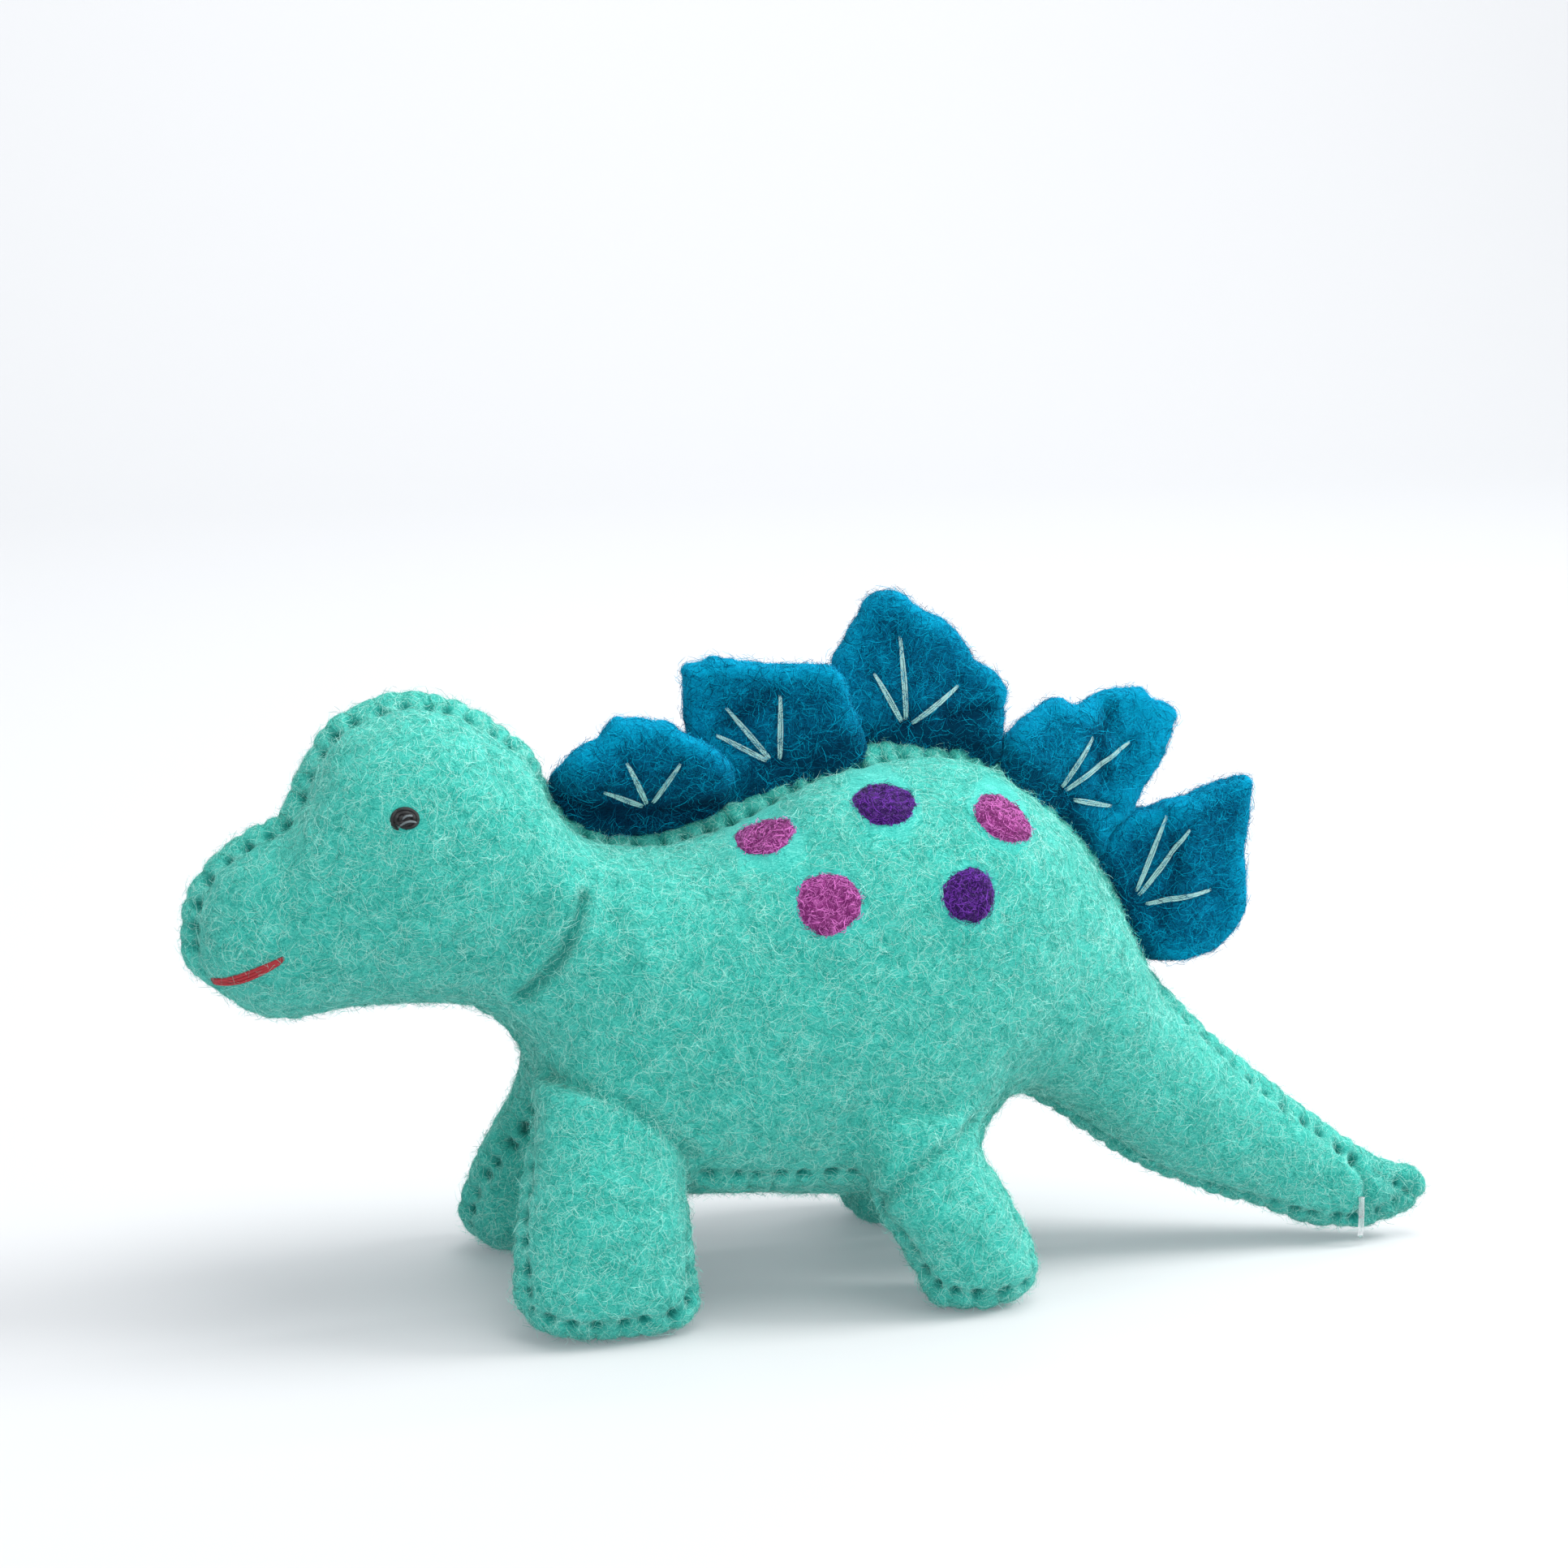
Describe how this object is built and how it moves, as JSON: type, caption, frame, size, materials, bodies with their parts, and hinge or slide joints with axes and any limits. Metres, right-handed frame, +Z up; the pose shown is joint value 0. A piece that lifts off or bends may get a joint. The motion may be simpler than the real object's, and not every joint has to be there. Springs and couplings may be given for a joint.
{
  "type": "stuffed dinosaur",
  "caption": "Small stuffed dinosaur in felt, with soft back plates, felted dots, a thread eye and stitched seams. It stands on four stubby legs.",
  "frame": {"origin": "on the floor under the middle of the object's length and width", "axes": "+Z up, head towards -X, tail towards +X, the animal's left side towards -Y"},
  "size_m": [0.22, 0.0682, 0.12],
  "materials": {
    "felt_mint": "matte",
    "stuffing": "matte",
    "thread_teal": "satin",
    "felt_blue": "matte",
    "thread_pale": "satin",
    "wool_pink": "matte",
    "wool_purple": "matte",
    "thread_black": "satin",
    "thread_red": "satin",
    "nylon_clear": "gloss"
  },
  "bodies": {
    "torso": {"side_panel_left": "felt_mint", "side_panel_right": "felt_mint", "belly_gusset": "felt_mint", "torso_stuffing": "stuffing", "back_seam_thread": "thread_teal", "under_seam_thread": "thread_teal", "belly_seam_thread_left": "thread_teal", "belly_seam_thread_right": "thread_teal", "dot_shoulder_left": "wool_pink", "dot_back_left": "wool_purple", "dot_rump_left": "wool_pink", "dot_flank_left": "wool_pink", "dot_thigh_left": "wool_purple", "dot_shoulder_right": "wool_pink", "dot_back_right": "wool_purple", "dot_rump_right": "wool_pink", "dot_flank_right": "wool_pink", "dot_thigh_right": "wool_purple"},
    "head": {"head_panel_left": "felt_mint", "head_panel_right": "felt_mint", "head_stuffing": "stuffing", "head_seam_thread": "thread_teal", "eye_left": "thread_black", "eye_right": "thread_black", "mouth_thread_left": "thread_red", "mouth_thread_right": "thread_red"},
    "tail": {"tail_panel_left": "felt_mint", "tail_panel_right": "felt_mint", "tail_stuffing": "stuffing", "tail_seam_thread": "thread_teal", "tag_pin": "nylon_clear"},
    "leg_front_left": {"leg_front_left_outer": "felt_mint", "leg_front_left_inner": "felt_mint", "leg_front_left_stuffing": "stuffing", "leg_front_left_thread": "thread_teal"},
    "leg_front_right": {"leg_front_right_outer": "felt_mint", "leg_front_right_inner": "felt_mint", "leg_front_right_stuffing": "stuffing", "leg_front_right_thread": "thread_teal"},
    "leg_hind_left": {"leg_hind_left_outer": "felt_mint", "leg_hind_left_inner": "felt_mint", "leg_hind_left_stuffing": "stuffing", "leg_hind_left_thread": "thread_teal"},
    "leg_hind_right": {"leg_hind_right_outer": "felt_mint", "leg_hind_right_inner": "felt_mint", "leg_hind_right_stuffing": "stuffing", "leg_hind_right_thread": "thread_teal"},
    "plate_1_felt": {"plate_1": "felt_blue", "plate_1_veins": "thread_pale"},
    "plate_2_felt": {"plate_2": "felt_blue", "plate_2_veins": "thread_pale"},
    "plate_3_felt": {"plate_3": "felt_blue", "plate_3_veins": "thread_pale"},
    "plate_4_felt": {"plate_4": "felt_blue", "plate_4_veins": "thread_pale"},
    "plate_5_felt": {"plate_5": "felt_blue", "plate_5_veins": "thread_pale"}
  },
  "joints": [
    {"name": "head_turn", "type": "hinge", "parent": "torso", "child": "head", "pos_m": [-0.051, 0, 0.066], "axis": [0.4384, 0, 0.8988], "range_deg": [-15, 15], "stiffness_Nm_per_rad": 0.12, "deforming": ["side_panel_left", "side_panel_right", "belly_gusset", "back_seam_thread", "under_seam_thread", "belly_seam_thread_left", "belly_seam_thread_right", "head_panel_left", "head_panel_right", "head_seam_thread"]},
    {"name": "tail_wag", "type": "hinge", "parent": "torso", "child": "tail", "pos_m": [0.063, -0.00116, 0.03], "axis": [0, 0, 1], "range_deg": [-25, 25], "stiffness_Nm_per_rad": 0.05, "deforming": ["tail_panel_left", "tail_panel_right", "tail_seam_thread"]},
    {"name": "leg_front_left_swing", "type": "hinge", "parent": "torso", "child": "leg_front_left", "pos_m": [-0.043, -0.024, 0.026], "axis": [0, 1, 0], "range_deg": [-15, 15], "stiffness_Nm_per_rad": 0.4, "deforming": ["leg_front_left_outer", "leg_front_left_inner"]},
    {"name": "leg_front_right_swing", "type": "hinge", "parent": "torso", "child": "leg_front_right", "pos_m": [-0.043, 0.024, 0.026], "axis": [0, 1, 0], "range_deg": [-15, 15], "stiffness_Nm_per_rad": 0.4, "deforming": ["leg_front_right_outer", "leg_front_right_inner"]},
    {"name": "leg_hind_left_swing", "type": "hinge", "parent": "torso", "child": "leg_hind_left", "pos_m": [0.0165, -0.024, 0.0195], "axis": [0, 1, 0], "range_deg": [-15, 15], "stiffness_Nm_per_rad": 0.4, "deforming": ["leg_hind_left_outer", "leg_hind_left_inner"]},
    {"name": "leg_hind_right_swing", "type": "hinge", "parent": "torso", "child": "leg_hind_right", "pos_m": [0.0165, 0.024, 0.0195], "axis": [0, 1, 0], "range_deg": [-15, 15], "stiffness_Nm_per_rad": 0.4, "deforming": ["leg_hind_right_outer", "leg_hind_right_inner"]},
    {"name": "plate_1_flop", "type": "hinge", "parent": "torso", "child": "plate_1_felt", "pos_m": [-0.03025, 0, 0.08445], "axis": [0.9999, 0, -0.014], "range_deg": [-40, 40], "stiffness_Nm_per_rad": 0.02},
    {"name": "plate_2_flop", "type": "hinge", "parent": "torso", "child": "plate_2_felt", "pos_m": [-0.006, 0, 0.09075], "axis": [0.9222, 0, 0.3866], "range_deg": [-40, 40], "stiffness_Nm_per_rad": 0.02},
    {"name": "plate_3_flop", "type": "hinge", "parent": "torso", "child": "plate_3_felt", "pos_m": [0.0194, 0, 0.095], "axis": [0.9943, 0, -0.1065], "range_deg": [-40, 40], "stiffness_Nm_per_rad": 0.02},
    {"name": "plate_4_flop", "type": "hinge", "parent": "torso", "child": "plate_4_felt", "pos_m": [0.0431, 0, 0.0823], "axis": [0.6903, 0, -0.7235], "range_deg": [-40, 40], "stiffness_Nm_per_rad": 0.02},
    {"name": "plate_5_flop", "type": "hinge", "parent": "torso", "child": "plate_5_felt", "pos_m": [0.0571, 0, 0.0619], "axis": [0.46, 0, -0.8879], "range_deg": [-40, 40], "stiffness_Nm_per_rad": 0.02}
  ]
}
